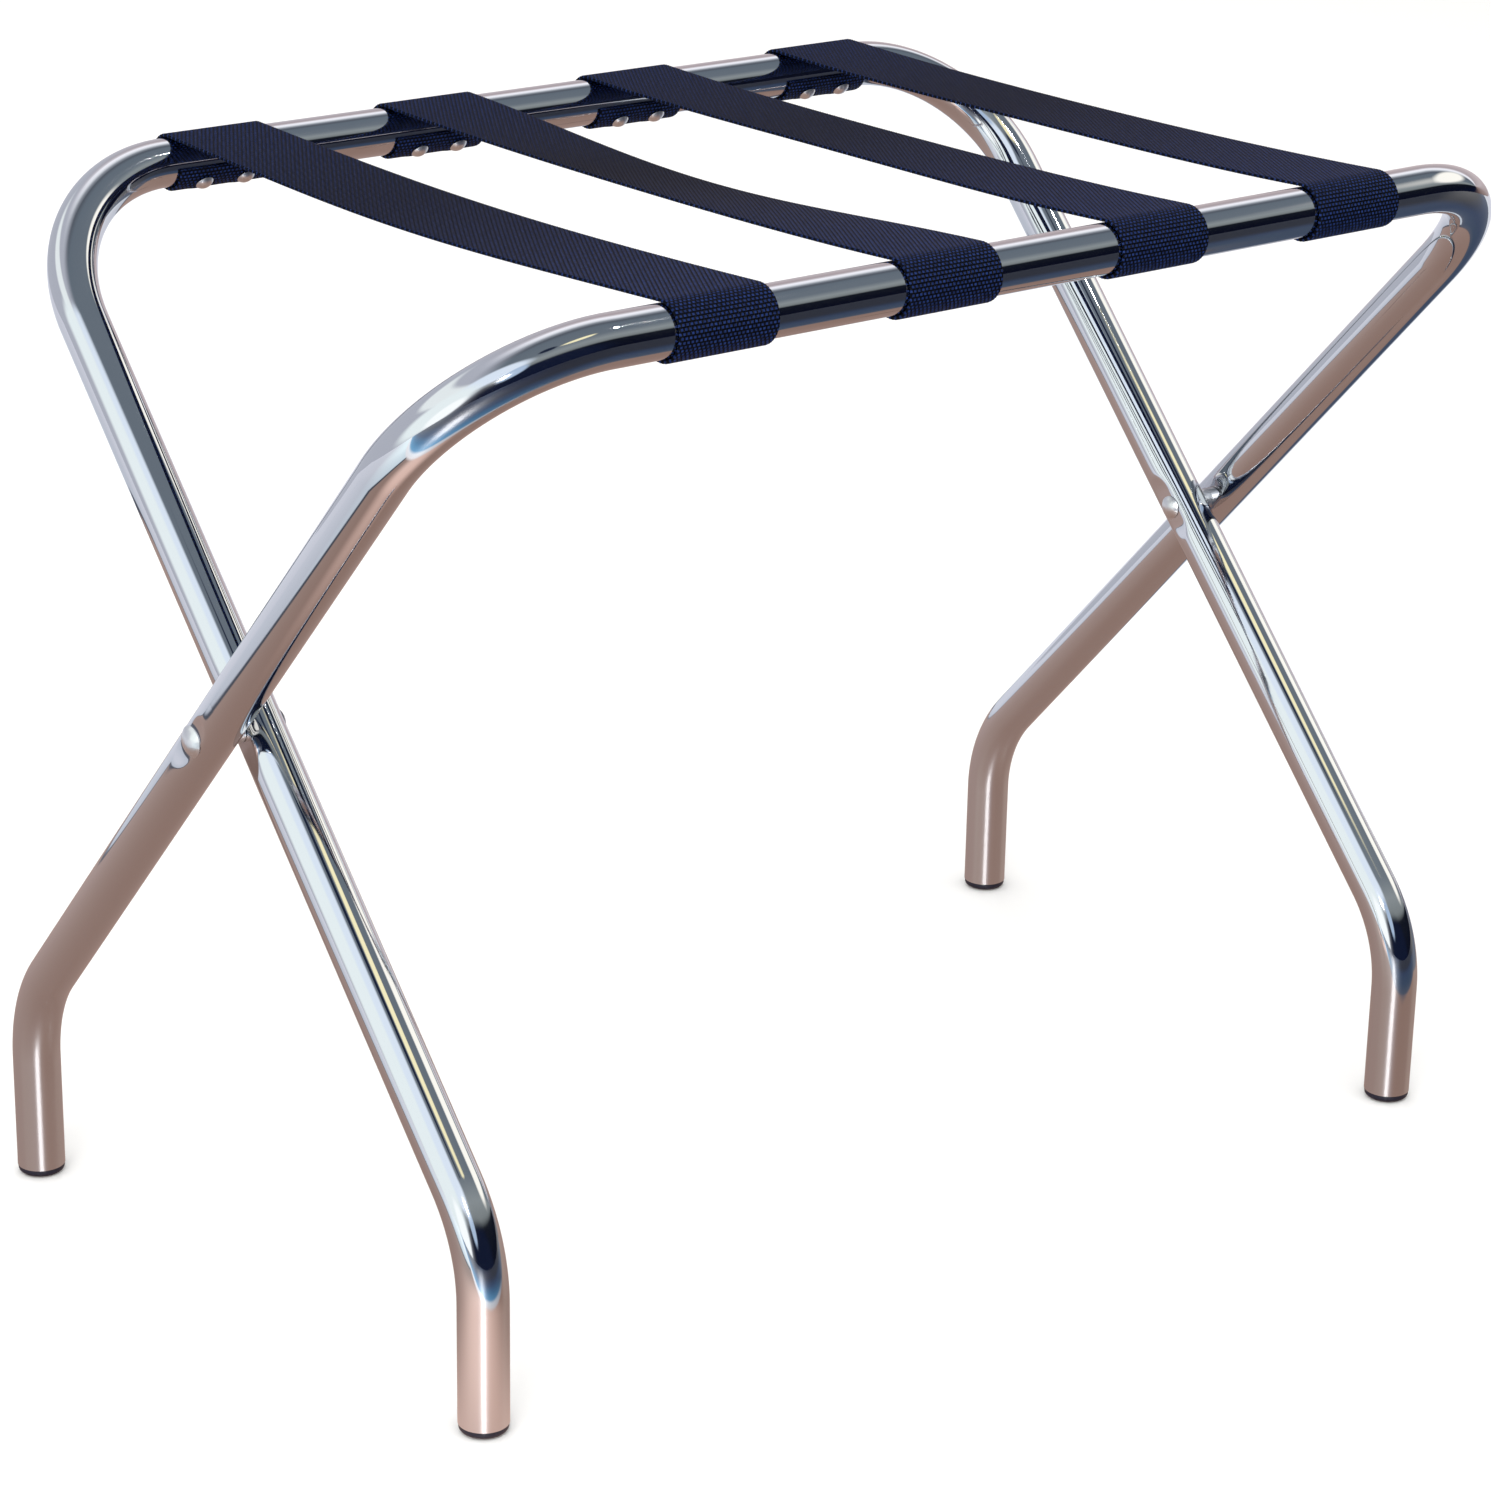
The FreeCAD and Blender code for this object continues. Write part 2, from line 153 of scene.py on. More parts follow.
# What the chrome mirrors below the horizon: a warm table top under the rack, blue carpet past its
# near edge, and a dark rim and a pale floor past its other edges.
boardSetup = {
    "side": 6.0,                    # m
    "left": -0.66, "right": 0.53, "near": -0.31, "far": 0.90,   # the table's edges, m
    "edgeBlur": 0.012,
    "rightDarkTo": 0.15,            # the right side is carpet up to here, m
    "warm": "#7f6458", "warmFar": "#8e766c", "warmTurn": (-0.3, 0.9),
    "leftCarpet": [(0.0, "#dcd6d6"), (0.035, "#d9dde2"), (0.06, "#4f8fb8"), (0.13, "#2f6a92"),
                   (0.24, "#1b3c60"), (0.5, "#0c1530")],
    "rightCarpet": [(0.0, "#3b4252"), (0.07, "#22344c"), (0.25, "#162a48"), (0.36, "#0c1a34"),
                    (0.5, "#080c20")],
    "carpetTurn": (-0.42, 0.0),     # the left colours give way to the right ones between these, m
    "beyondFar": [(0.0, "#0c1426"), (0.035, "#101a30"), (0.06, "#a9aeb8"), (0.6, "#b4b6bf")],
    "beyondNear": [(0.0, "#0c1426"), (0.035, "#101a30"), (0.06, "#bccad2"), (0.6, "#d6e4e8")],
    "beyondTurn": (-0.25, 0.35),
    # painted glare: the board's colour is painted paler round this place, a painted pool of flash light
    "paintedGlarePlace": (-0.37, -0.25, 0), "paintedGlareRadius": 0.24, "paintedGlareCore": 0.04, "paintedGlare": "#d2b0a2",
    "glareRoughness": 0.42, "glareLevel": 0.9, "brightness": 1.4,
}


def layReflectedBoard(setup, floor):
    # Varnished table top with short-pile carpet round it: warm and dark stretches in the plating,
    # with a broad dull glare where the flash strikes the varnish, and a painted pool of flash glare near the
    # rack.
    deselectAll()
    bpy.ops.mesh.primitive_plane_add(size=setup["side"], location=(0, 0, -floor["boardDrop"]))
    board = bpy.context.object
    board.name = "reflectedBoard"
    bpy.ops.object.transform_apply()
    material, tree, shader = startMaterial("reflected table and carpet")
    place = addNode(tree, "ShaderNodeTexCoord").outputs["Object"]
    split = addNode(tree, "ShaderNodeSeparateXYZ", Vector=place)
    # how far a point lies outside each edge, and so past the carpet's edge and the pale floor's
    out = {"x": split.outputs["X"], "y": split.outputs["Y"]}
    for name, operation, first, second in (
            ("left", "SUBTRACT", setup["left"], "x"),
            ("right", "SUBTRACT", "x", setup["right"]),
            ("near", "SUBTRACT", setup["near"], "y"),
            ("far", "SUBTRACT", "y", setup["far"]),
            ("rightFront", "SUBTRACT", setup["rightDarkTo"], "y"),
            ("darkRight", "MINIMUM", "right", "rightFront"),
            ("carpet", "MAXIMUM", "near", "darkRight"),
            ("sides", "MAXIMUM", "left", "right"),
            ("pale", "MAXIMUM", "sides", "far")):
        step = addNode(tree, "ShaderNodeMath", {"operation": operation},
                       i0=out.get(first, first), i1=out.get(second, second))
        out[name] = step.outputs[0]
    shades = {name: addNode(tree, "ShaderNodeValToRGB", stops=setup[name], i0=out[edge]).outputs[0]
              for name, edge in (("leftCarpet", "carpet"), ("rightCarpet", "carpet"),
                                 ("beyondNear", "pale"), ("beyondFar", "pale"))}
    shades["warm"], shades["warmFar"] = linear(setup["warm"]), linear(setup["warmFar"])
    for name, axis, turn, first, second in (
            ("carpet", "x", "carpetTurn", "leftCarpet", "rightCarpet"),
            ("pale", "y", "beyondTurn", "beyondNear", "beyondFar"),
            ("table", "y", "warmTurn", "warm", "warmFar")):
        start, end = setup[turn]
        turned = addNode(tree, "ShaderNodeMapRange", i0=out[axis], i1=start, i2=end)
        mix = addNode(tree, "ShaderNodeMix", {"data_type": "RGBA"}, i0=turned.outputs[0],
                      i6=shades[first], i7=shades[second])
        shades[name] = mix.outputs[2]
    # painted glare: the table colour turns paler towards this place, standing in for the flash's pool of
    # light
    away = addNode(tree, "ShaderNodeVectorMath", {"operation": "DISTANCE"}, i0=place, i1=setup["paintedGlarePlace"])
    lit = addNode(tree, "ShaderNodeMapRange", {"interpolation_type": "SMOOTHSTEP"},
                  Value=away.outputs["Value"], i1=setup["paintedGlareRadius"], i2=setup["paintedGlareCore"])
    shade = addNode(tree, "ShaderNodeMix", {"data_type": "RGBA"}, i0=lit.outputs[0],
                    i6=shades["table"], i7=linear(setup["paintedGlare"])).outputs[2]
    for name in ("pale", "carpet"):
        edge = addNode(tree, "ShaderNodeMapRange", {"interpolation_type": "SMOOTHSTEP"},
                       i0=out[name], i1=-setup["edgeBlur"], i2=setup["edgeBlur"])
        shade = addNode(tree, "ShaderNodeMix", {"data_type": "RGBA"}, i0=edge.outputs[0],
                        i6=shade, i7=shades[name]).outputs[2]
    shader.inputs["Base Color"].default_value = (0, 0, 0, 1)
    tree.links.new(shade, shader.inputs["Emission Color"])
    shader.inputs["Emission Strength"].default_value = setup["brightness"]
    shader.inputs["Roughness"].default_value = setup["glareRoughness"]
    shader.inputs["Specular IOR Level"].default_value = setup["glareLevel"]
    board.data.materials.append(material)
    board.visible_camera = False
    board.visible_diffuse = False
    board.visible_transmission = False
    board.visible_shadow = False


layReflectedBoard(boardSetup, floorSetup)

# Soft lights for the cloth and floor, and small ones that only glossy surfaces see.
lightSetup = {
    "overheadSoftbox": {"place": (-0.4, -0.3, 2.3), "size": 2.4, "power": 16},
    "cameraSideSoftbox": {"place": (-2.2, -1.6, 1.7), "size": 1.6, "power": 34},
    "farSoftbox": {"place": (1.2, 2.4, 1.8), "size": 1.6, "power": 10},
}
sparkSetup = {
    "flash": {"place": (-1.20, -1.50, 1.06), "radius": 0.03, "power": 150},
    "ceilingLamp": {"place": (0.9, -0.9, 2.1), "radius": 0.05, "power": 20},
}


def setLights(softboxes, sparks):
    for name, box in softboxes.items():
        light = bpy.data.lights.new(name, "AREA")
        light.size = box["size"]
        light.energy = box["power"]
        lamp = bpy.data.objects.new(name, light)
        lamp.location = box["place"]
        lamp.rotation_euler = (Vector((0, 0, 0.2)) - lamp.location).to_track_quat("-Z", "Y").to_euler()
        lamp.visible_glossy = False
        bpy.context.scene.collection.objects.link(lamp)
    for name, spark in sparks.items():
        light = bpy.data.lights.new(name, "POINT")
        light.shadow_soft_size = spark["radius"]
        light.energy = spark["power"]
        lamp = bpy.data.objects.new(name, light)
        lamp.location = spark["place"]
        lamp.visible_diffuse = False
        lamp.visible_camera = False
        bpy.context.scene.collection.objects.link(lamp)


setLights(lightSetup, sparkSetup)

# The room that the chrome mirrors, as bands round the rails' own direction: degrees from the far
# horizon, up over the top and down to the near side.
roomSetup = {
    "bands": [
        (0, "#b8acae"), (42, "#a4989b"), (50, "#c9c4c8"), (57, "#f4f2f8"), (66, "#dcdfe4"),
        (75, "#8a8f97"), (84, "#50565f"), (95, "#5f6973"), (126, "#646d76"), (143, "#858c8e"),
        (154, "#767c7d"), (159, "#11151f"), (182, "#0a0d1b"), (225, "#0a1128"), (270, "#6f5d58"),
        (330, "#8d7c7a"),
    ],
    # soft patches: azimuth from the far side towards +X, elevation, half width, half height, colour
    "patches": [
        ("farWall", -48, 8, 78, 62, "#a9acb6"),
        ("wideWindow", -58, 36, 50, 9, "#e0e6e6"),
        ("leftSky", -126, 38, 30, 15, "#d7e2ee"),
        ("brightWall", -96, 14, 30, 24, "#e3ecec"),
        ("brightDoorway", -112, 4, 14, 14, "#f8fcfb"),
        ("nearLeftDark", -172, 2, 36, 22, "#10172c"),
        ("nearLeftGlow", -150, 22, 9, 12, "#a5b9d1"),
        ("rightWindow", 102, 25, 20, 12, "#fbf8ee"),
        ("yellowLamp", 163, 53, 17, 3.5, "#f4ebbf"),
        ("darkBeam", -166, 55, 9, 5, "#1a2236"),
    ],
    "patchBlur": (1.25, 0.75),      # a patch fades out between these shares of its half size
    "strength": 1.4,
}


def buildRoom(setup):
    world = bpy.data.worlds.new("studio")
    bpy.context.scene.world = world
    world.use_nodes = True
    tree = world.node_tree
    tree.nodes.clear()
    place = addNode(tree, "ShaderNodeTexCoord").outputs["Generated"]
    split = addNode(tree, "ShaderNodeSeparateXYZ", Vector=place)
    x, y, z = (split.outputs[axis] for axis in "XYZ")
    turn = addNode(tree, "ShaderNodeMath", {"operation": "ARCTAN2"}, i0=z, i1=y)
    turn = addNode(tree, "ShaderNodeMath", {"operation": "DIVIDE"}, i0=turn.outputs[0], i1=2 * math.pi)
    turn = addNode(tree, "ShaderNodeMath", {"operation": "FRACT"}, i0=turn.outputs[0])
    stops = [(angle / 360, colour) for angle, colour in setup["bands"]]
    stops.append((1.0, stops[0][1]))
    bands = addNode(tree, "ShaderNodeValToRGB", stops=stops, i0=turn.outputs[0])
    azimuth = addNode(tree, "ShaderNodeMath", {"operation": "ARCTAN2"}, i0=x, i1=y)
    elevation = addNode(tree, "ShaderNodeMath", {"operation": "ARCSINE"}, i0=z)
    shade = bands.outputs[0]
    faint, full = setup["patchBlur"]
    for name, turned, lifted, wide, high, colour in setup["patches"]:
        off = addNode(tree, "ShaderNodeMath", {"operation": "SUBTRACT"},
                      i0=azimuth.outputs[0], i1=math.radians(turned))
        off = addNode(tree, "ShaderNodeMath", {"operation": "WRAP"},
                      i0=off.outputs[0], i1=math.pi, i2=-math.pi)
        up = addNode(tree, "ShaderNodeMath", {"operation": "SUBTRACT"},
                     i0=elevation.outputs[0], i1=math.radians(lifted))
        pair = addNode(tree, "ShaderNodeCombineXYZ", X=off.outputs[0], Y=up.outputs[0])
        pair = addNode(tree, "ShaderNodeVectorMath", {"operation": "DIVIDE"}, i0=pair.outputs[0],
                       i1=(math.radians(wide), math.radians(high), 1))
        far = addNode(tree, "ShaderNodeVectorMath", {"operation": "LENGTH"}, i0=pair.outputs[0])
        cover = addNode(tree, "ShaderNodeMapRange", {"interpolation_type": "SMOOTHSTEP", "label": name},
                        i0=far.outputs["Value"], i1=faint, i2=full)
        shade = addNode(tree, "ShaderNodeMix", {"data_type": "RGBA"}, i0=cover.outputs[0],
                        i6=shade, i7=linear(colour)).outputs[2]
    mirrored = addNode(tree, "ShaderNodeBackground", Color=shade, Strength=setup["strength"])
    plain = addNode(tree, "ShaderNodeBackground", Color=(1, 1, 1, 1), Strength=1.0)
    rays = addNode(tree, "ShaderNodeLightPath")
    both = addNode(tree, "ShaderNodeMixShader", i0=rays.outputs["Is Glossy Ray"],
                   i1=plain.outputs[0], i2=mirrored.outputs[0])
    addNode(tree, "ShaderNodeOutputWorld", Surface=both.outputs[0])


buildRoom(roomSetup)
bpy.context.scene.view_settings.view_transform = "Standard"
print("floor, lights and room done")


chromeFinish = {
    "colour": "#dcdde0", "roughness": 0.035,
    "wave": 0.030, "waveDepth": 0.00002,        # m, the tube's own slight unevenness
    "hazeSize": 0.01667, "haze": 0.04,          # m across, and how much roughness it adds
}


def chromePlate(finish):
    # Bright chromium electroplated over nickel on drawn steel tube: a near-perfect mirror whose
    # bands waver slightly, with a little haze in places.
    material, tree, shader = startMaterial("bright chrome plate")
    place = addNode(tree, "ShaderNodeTexCoord").outputs["Object"]
    wave = addNode(tree, "ShaderNodeTexNoise", Vector=place, Scale=1 / finish["wave"], Detail=1.0)
    bump = addNode(tree, "ShaderNodeBump", Strength=1.0, Distance=finish["waveDepth"],
                   Height=wave.outputs["Fac"])
    haze = addNode(tree, "ShaderNodeTexNoise", Vector=place, Scale=1 / finish["hazeSize"], Detail=4.0)
    rough = addNode(tree, "ShaderNodeMapRange", Value=haze.outputs["Fac"], i1=0.35, i2=0.75,
                    i3=finish["roughness"], i4=finish["roughness"] + finish["haze"])
    shader.inputs["Base Color"].default_value = linear(finish["colour"])
    shader.inputs["Metallic"].default_value = 1.0
    tree.links.new(rough.outputs[0], shader.inputs["Roughness"])
    tree.links.new(bump.outputs[0], shader.inputs["Normal"])
    return material


rivetFinish = {
    "colour": "#e6e6e6", "roughness": 0.33,
    "dentSize": 0.00238, "dentDepth": 0.00015,  # m, left by the riveting tool
}


def rivetSteel(finish):
    # Steel wire headed cold and barrel-plated with nickel: a soft satin shine, broken up by the
    # small dents of the riveting tool.
    material, tree, shader = startMaterial("nickel-plated rivet steel")
    place = addNode(tree, "ShaderNodeTexCoord").outputs["Object"]
    dents = addNode(tree, "ShaderNodeTexNoise", Vector=place, Scale=1 / finish["dentSize"], Detail=2.0)
    bump = addNode(tree, "ShaderNodeBump", Strength=1.0, Distance=finish["dentDepth"],
                   Height=dents.outputs["Fac"])
    shader.inputs["Base Color"].default_value = linear(finish["colour"])
    shader.inputs["Metallic"].default_value = 1.0
    shader.inputs["Roughness"].default_value = finish["roughness"]
    tree.links.new(bump.outputs[0], shader.inputs["Normal"])
    return material


glideFinish = {
    "colour": "#15182b", "roughness": 0.42,
    "grain": 0.0004, "grainDepth": 0.00008,     # m
}


def glidePlastic(finish):
    # Injection-moulded polyethylene, dyed through: dark and waxy, with a fine grain from the mould.
    material, tree, shader = startMaterial("moulded polyethylene glide")
    place = addNode(tree, "ShaderNodeTexCoord").outputs["Object"]
    grain = addNode(tree, "ShaderNodeTexNoise", Vector=place, Scale=1 / finish["grain"], Detail=3.0)
    bump = addNode(tree, "ShaderNodeBump", Strength=0.5, Distance=finish["grainDepth"],
                   Height=grain.outputs["Fac"])
    shader.inputs["Base Color"].default_value = linear(finish["colour"])
    shader.inputs["Roughness"].default_value = finish["roughness"]
    tree.links.new(bump.outputs[0], shader.inputs["Normal"])
    return material


webbingWeave = {
    "rowPitch": 0.0017,             # m, from one weft row to the next
    "endPitch": 0.0021,             # m, from one warp end to the next
    # navyGrooveShade is painted shade down in the grooves
    # navyPaintedHighlight is a painted highlight on the knuckle crowns
    "navy": "#050a1e", "navyGrooveShade": "#02040d", "navyPaintedHighlight": "#1f356c",
    "gap": 0.27,                    # of a knuckle, the groove round it
    "crown": 0.86,                  # the part of a knuckle above this height gets a painted highlight
    "knuckleDepth": 0.00035,        # m
    "roughness": 0.5, "sheenLevel": 0.06,
}


def ribbedWebbing(weave):
    # Polypropylene yarn dyed navy and woven into a ribbed tape: dull, with painted shade nearly black in
    # the grooves and a painted pale blue highlight on each knuckle wherever a warp end crosses over.
    material, tree, shader = startMaterial("ribbed navy polypropylene webbing")
    cloth = addNode(tree, "ShaderNodeAttribute", {"attribute_name": "clothPlace"}).outputs["Vector"]
    split = addNode(tree, "ShaderNodeSeparateXYZ", Vector=cloth)
    row = addNode(tree, "ShaderNodeMath", {"operation": "DIVIDE"},
                  i0=split.outputs["X"], i1=weave["rowPitch"])
    end = addNode(tree, "ShaderNodeMath", {"operation": "DIVIDE"},
                  i0=split.outputs["Y"], i1=weave["endPitch"])
    brickPlace = addNode(tree, "ShaderNodeCombineXYZ", X=end.outputs[0], Y=row.outputs[0])
    knuckles = addNode(tree, "ShaderNodeTexBrick", {"offset": 0.5, "offset_frequency": 2},
                       Vector=brickPlace.outputs[0], Scale=1.0)
    knuckles.inputs["Mortar Size"].default_value = weave["gap"]
    knuckles.inputs["Mortar Smooth"].default_value = 1.0
    knuckles.inputs["Brick Width"].default_value = 1.0
    knuckles.inputs["Row Height"].default_value = 1.0
    hill = addNode(tree, "ShaderNodeMath", {"operation": "SUBTRACT"}, i0=1.0, i1=knuckles.outputs["Fac"])
    yarn = addNode(tree, "ShaderNodeTexNoise", Vector=brickPlace.outputs[0], Scale=0.9, Detail=2.0)
    uneven = addNode(tree, "ShaderNodeMapRange", Value=yarn.outputs["Fac"], i1=0.35, i2=0.7, i3=0.35, i4=1.0)
    crown = addNode(tree, "ShaderNodeMapRange", {"interpolation_type": "SMOOTHERSTEP"},
                    Value=hill.outputs[0], i1=weave["crown"], i2=1.0)
    lit = addNode(tree, "ShaderNodeMath", {"operation": "MULTIPLY"},
                  i0=crown.outputs[0], i1=uneven.outputs[0])
    # painted shade: the navy darkens down into the grooves between the knuckles
    grooveShadedBase = addNode(tree, "ShaderNodeMix", {"data_type": "RGBA"}, i0=hill.outputs[0],
                     i6=linear(weave["navyGrooveShade"]), i7=linear(weave["navy"]))
    # painted highlight: pale blue on each knuckle's crown, where the light would catch it
    colour = addNode(tree, "ShaderNodeMix", {"data_type": "RGBA"}, i0=lit.outputs[0],
                     i6=grooveShadedBase.outputs[2], i7=linear(weave["navyPaintedHighlight"]))
    bump = addNode(tree, "ShaderNodeBump", Strength=1.0, Distance=weave["knuckleDepth"],
                   Height=hill.outputs[0])
    tree.links.new(colour.outputs[2], shader.inputs["Base Color"])
    tree.links.new(bump.outputs[0], shader.inputs["Normal"])
    shader.inputs["Roughness"].default_value = weave["roughness"]
    shader.inputs["Specular IOR Level"].default_value = weave["sheenLevel"]
    return material


chrome = chromePlate(chromeFinish)
rivets = rivetSteel(rivetFinish)
glides = glidePlastic(glideFinish)
webbing = ribbedWebbing(webbingWeave)
finishOf = {"frame_tube": chrome, "rivet": rivets, "glide": glides, "spacer": rivets, "strap": webbing}
for name, node in frame["nodes"].items():
    finish = next(material for word, material in finishOf.items() if word in name)
    for slot in node.material_slots:
        slot.material = finish
print("materials done")


# The two bent tubes, with the smooth dents that the pivot rivets and spacers sit in.
tubeSizes = {
    "radius": 0.0111,               # m
    "cornerRadius": 0.072, "footRadius": 0.072,     # m, of the tube's middle line
    "wall": 0.0012,
    "endHeight": 0.0036,            # the tube stands on its glide's rim
    "aroundFaces": 80, "cornerSteps": 40, "footSteps": 26,
    "pressedReach": 0.030, "pressedSteps": 72,      # of a leg, each side of the pivot
    "headDent": {"depth": 0.0014, "floor": 0.0070, "flare": 30.0, "stretch": 1.25},
    "spacerDent": {"depth": 0.0016, "floor": 0.0058, "flare": 26.0, "stretch": 1.6},
    "dentSoftness": 0.0005,
    "deepestDent": 0.002,           # a point's weight is its share of this
    "leastDent": 1e-7,              # shallower than this isn't a dent
    "smoothAngle": 50,              # degrees
}
tubeRadius = tubeSizes["radius"]

outerLow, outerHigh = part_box("outer_frame_tube")
innerLow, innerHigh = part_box("inner_frame_tube")
nearRail = Vector((0, outerLow.y + tubeRadius, outerHigh.z - tubeRadius))
farRail = Vector((0, innerHigh.y - tubeRadius, innerHigh.z - tubeRadius))
pivot = Vector(frame["record"]["behaviour"]["joints"][0]["pos_m"])


def extrudeTimes(step, count=1):
    for _ in range(count):
        bpy.ops.mesh.extrude_edges_move(TRANSFORM_OT_translate={"value": tuple(step)})


def bendHalfTube(sizes, rail, half, footY):
    # from the middle of the rail round the corner, down the leg and round into the foot
    hand = -1 if rail.y > 0 else 1
    lean = math.atan2(abs(rail.y), rail.z - pivot.z)
    down = Vector((0, hand * math.sin(lean), -math.cos(lean)))
    corner, foot, reach = sizes["cornerRadius"], sizes["footRadius"], sizes["pressedReach"]
    tangent = foot * math.tan(lean / 2)
    toPivot = abs(rail.y) / math.sin(lean)
    toFoot = (abs(rail.y) + abs(footY)) / math.sin(lean)
    deselectAll()
    bpy.ops.mesh.primitive_circle_add(vertices=sizes["aroundFaces"], radius=tubeRadius, location=rail,
                                      rotation=(0, math.pi / 2, 0))
    tube = bpy.context.object
    bpy.ops.object.transform_apply()
    bpy.ops.object.mode_set(mode="EDIT")
    bpy.ops.mesh.select_all(action="SELECT")
    cornerStart = rail + Vector((half - corner, 0, 0))
    extrudeTimes(cornerStart - rail)
    bpy.ops.mesh.spin(steps=sizes["cornerSteps"], angle=math.pi / 2, center=cornerStart + down * corner,
                      axis=down.cross(Vector((1, 0, 0))), use_auto_merge=False)
    extrudeTimes(down * (toPivot - corner - reach))
    extrudeTimes(down * (2 * reach / sizes["pressedSteps"]), sizes["pressedSteps"])
    extrudeTimes(down * (toFoot - tangent - toPivot - reach))
    legEnd = rail + Vector((half, 0, 0)) + down * (toFoot - tangent)
    inward = Vector((0, -hand * math.cos(lean), -math.sin(lean)))
    bpy.ops.mesh.spin(steps=sizes["footSteps"], angle=lean, center=legEnd + inward * foot,
                      axis=(hand, 0, 0), use_auto_merge=False)
    footTop = rail.z - toFoot * math.cos(lean) - tangent
    extrudeTimes(Vector((0, 0, sizes["endHeight"] - footTop)))
    bpy.ops.mesh.select_all(action="SELECT")
    bpy.ops.mesh.normals_make_consistent(inside=False)
    bpy.ops.object.mode_set(mode="OBJECT")
    return tube, down


def pressDents(tube, sizes, half, down, headSide):
    # how deep each dent lies at a point of the tube: a flat floor that flares out smoothly
    across = Vector((1, 0, 0)).cross(down)
    for side in (-1, 1):
        dent = sizes["headDent" if side == headSide else "spacerDent"]
        group = tube.vertex_groups.new(name=f"dent{side}")
        for vertex in tube.data.vertices:
            off = vertex.co - pivot - Vector((half, 0, 0))
            along, sideways, out = off.dot(down), off.dot(across), side * off.x
            if out <= 0 or abs(along) > sizes["pressedReach"]:
                continue
            beyond = max(0, math.hypot(along / dent["stretch"], sideways) - dent["floor"])
            ceiling = tubeRadius - dent["depth"] + dent["flare"] * beyond ** 2
            soft = math.hypot(out - ceiling, sizes["dentSoftness"])
            sunk = out - (out + ceiling - soft) / 2
            if sunk > sizes["leastDent"]:
                group.add([vertex.index], min(1, sunk / sizes["deepestDent"]), "REPLACE")
        workOn(tube)
        displace = tube.modifiers.new(group.name, "DISPLACE")
        displace.direction = "X"
        displace.mid_level = 0
        displace.strength = -side * sizes["deepestDent"]
        displace.vertex_group = group.name
        bpy.ops.object.modifier_apply(modifier=displace.name)
    tube.vertex_groups.clear()


def makeFrameTube(sizes, name, rail, high, footY, headSide):
    half = high.x - tubeRadius
    tube, down = bendHalfTube(sizes, rail, half, footY)
    tube.name = f"{name}_polished"
    pressDents(tube, sizes, half, down, headSide)
    workOn(tube)
    mirror = tube.modifiers.new("other half", "MIRROR")
    mirror.merge_threshold = 0.00001
    bpy.ops.object.modifier_apply(modifier=mirror.name)
    wall = tube.modifiers.new("wall", "SOLIDIFY")
    wall.thickness = sizes["wall"]
    wall.offset = -1
    bpy.ops.object.modifier_apply(modifier=wall.name)
    bpy.ops.object.mode_set(mode="EDIT")
    bpy.ops.mesh.select_all(action="SELECT")
    bpy.ops.mesh.normals_make_consistent(inside=False)
    bpy.ops.object.mode_set(mode="OBJECT")
    bpy.ops.object.shade_smooth_by_angle(angle=math.radians(sizes["smoothAngle"]))
    tube.data.materials.append(chrome)
    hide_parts(f"{name}_tube")
    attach(tube, name)
    print(tube.name, len(tube.data.polygons), "faces",
          [round(c, 5) for corner in (tube.bound_box[0], tube.bound_box[6]) for c in corner])


makeFrameTube(tubeSizes, "outer_frame", nearRail, outerHigh, outerHigh.y - tubeRadius, 1)
makeFrameTube(tubeSizes, "inner_frame", farRail, innerHigh, innerLow.y + tubeRadius, -1)
print("tubes done", [round(c, 5) for box in (outerLow, outerHigh, innerLow, innerHigh) for c in box])


strapSizes = {
    "thickness": 0.0016,            # m
    "sag": 0.004,                   # at mid-span, below a straight line between the rails
    "cutAngle": 354.0,              # degrees round the rail where the webbing ends
    "edgeRound": 0.0006,
    "acrossFaces": 18,
    "rowsPerWrap": 34,              # weft rows round each rail
    "rowsPerSpan": 213,
    "rowsPerSpanStep": 3,           # the long arc turns once every so many rows
    "stepsPerRow": 4,
    "grooveDepth": 0.00016,
    "puckerHeight": 0.0003,
    "puckerRadius": 0.0060,
    "puckerWidth": 0.0012,
    "rivetAngle": 315.0,            # degrees round the rail
    "rivetPitch": 0.022,
    "wrapReach": 0.02,              # a point this far inside a rail's line may be on its wrap
    "smoothAngle": 50,
    "tiny": 1e-6,                   # allowance when places are compared
}
strapLow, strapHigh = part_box("strap_1")
strapWidth = strapHigh.x - strapLow.x
wrapOutside = nearRail.y - strapLow.y


def strapRoute(sizes):
    # the webbing's mid-line: an arc round each rail and one long shallow arc between them
    middle = wrapOutside - sizes["thickness"] / 2
    half = (farRail.y - nearRail.y) / 2
    dip = 2 * math.atan(sizes["sag"] / half)
    circle = half / math.sin(dip)
    return {
        "middle": middle, "dip": dip, "circle": circle,
        "centre": Vector((0, 0, nearRail.z + circle * math.cos(dip))),
        "wrapSweep": math.radians(sizes["cutAngle"] - 90) + dip,
        "wrapLength": middle * (math.radians(sizes["cutAngle"] - 90) + dip),
        "spanLength": (circle - middle) * 2 * dip,
    }


def clothPlaceOf(point, route, sizes):
    # distance along the webbing, across it, and above its mid-line
    across = point.x + strapWidth / 2
    for rail, side in ((nearRail, 1), (farRail, -1)):
        outward = side * (point.y - rail.y)
        turn = math.atan2(point.z - rail.z, outward) % (2 * math.pi)
        if turn >= math.pi / 2 - route["dip"] - sizes["tiny"] and outward < sizes["wrapReach"]:
            run = route["middle"] * (math.radians(sizes["cutAngle"]) - turn)
            lift = math.hypot(point.z - rail.z, outward) - route["middle"]
            whole = 2 * route["wrapLength"] + route["spanLength"]
            return Vector((run if side > 0 else whole - run, across, lift))
    turn = math.atan2(point.y, route["centre"].z - point.z)
    reach = math.hypot(point.y, route["centre"].z - point.z)
    run = route["wrapLength"] + (route["circle"] - route["middle"]) * (turn + route["dip"])
    return Vector((run, across, route["circle"] - route["middle"] - reach))


